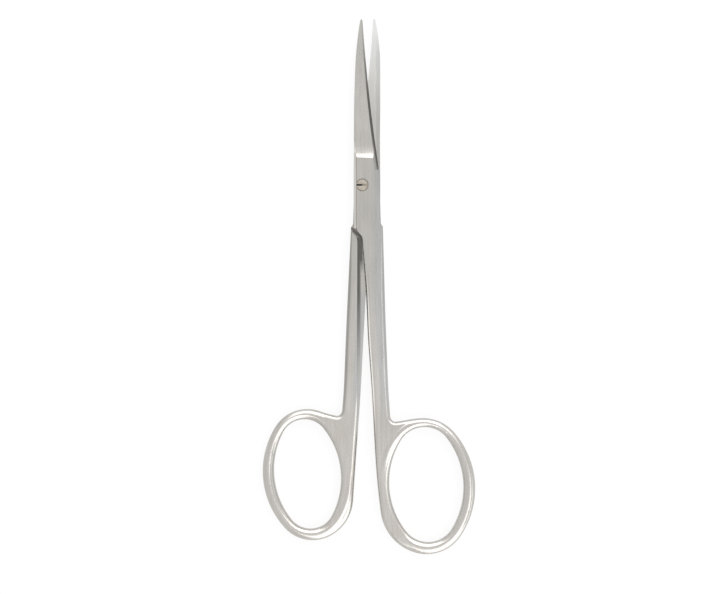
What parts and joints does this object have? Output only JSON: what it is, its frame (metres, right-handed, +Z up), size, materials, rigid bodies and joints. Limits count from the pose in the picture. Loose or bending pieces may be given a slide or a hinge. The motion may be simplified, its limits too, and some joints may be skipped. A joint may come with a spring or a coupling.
{
  "type": "iris scissors",
  "caption": "Small straight surgical scissors with fine pointed blades, a half-lap screw joint, slim shanks and oval finger rings, lying flat and slightly open.",
  "frame": {"origin": "on the axis of the joint screw, where it meets the flat surface that the scissors lie on", "axes": "+Y along the scissors towards the blade tips, +Z up out of the surface along the screw, +X towards the larger finger ring"},
  "size_m": [0.0456, 0.115, 0.0032],
  "materials": {
    "steel": "satin",
    "screw_steel": "satin"
  },
  "bodies": {
    "back": {"back_half": "steel", "pivot_screw": "screw_steel"},
    "front": {"front_half": "steel"}
  },
  "joints": [
    {"name": "pivot", "type": "hinge", "parent": "back", "child": "front", "pos_m": [0, 0, 0.0016], "axis": [0, 0, 1], "range_deg": [-3.8, 120]}
  ]
}
